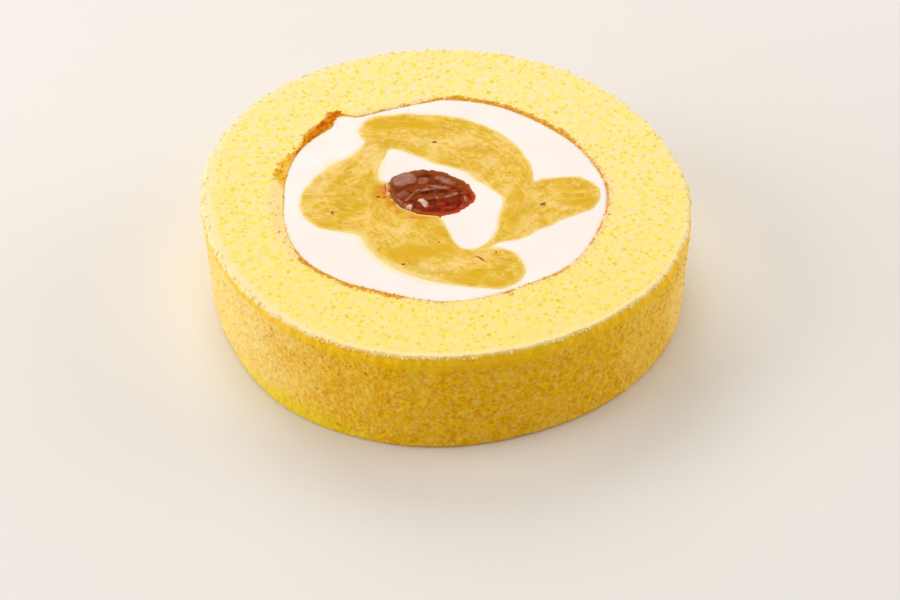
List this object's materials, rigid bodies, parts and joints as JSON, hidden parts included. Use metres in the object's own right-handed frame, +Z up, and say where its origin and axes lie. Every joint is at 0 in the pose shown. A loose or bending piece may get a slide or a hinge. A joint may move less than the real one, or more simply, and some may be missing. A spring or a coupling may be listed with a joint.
{
  "type": "sweet potato roll cake",
  "caption": "Thick round slice of roll cake lying on its cut face: a sponge ring round whipped cream, a piped sweet potato swirl and a dark sauce core.",
  "frame": {"origin": "middle of the lower cut face, on the surface that the slice lies on", "axes": "+Z up through the slice's thickness, along the axis of the roll; the shown view looks along +Y and down"},
  "size_m": [0.0904, 0.0896, 0.0217],
  "materials": {
    "sponge_crumb": "soft open crumb",
    "whipped_cream": "smooth and matte",
    "sweet_potato_cream": "smooth with fine fibres",
    "caramel_sauce": "wet and glossy"
  },
  "bodies": {
    "root": {"sponge": "sponge_crumb", "whipped_cream": "whipped_cream", "sweet_potato_cream": "sweet_potato_cream", "caramel_sauce": "caramel_sauce"}
  },
  "joints": []
}
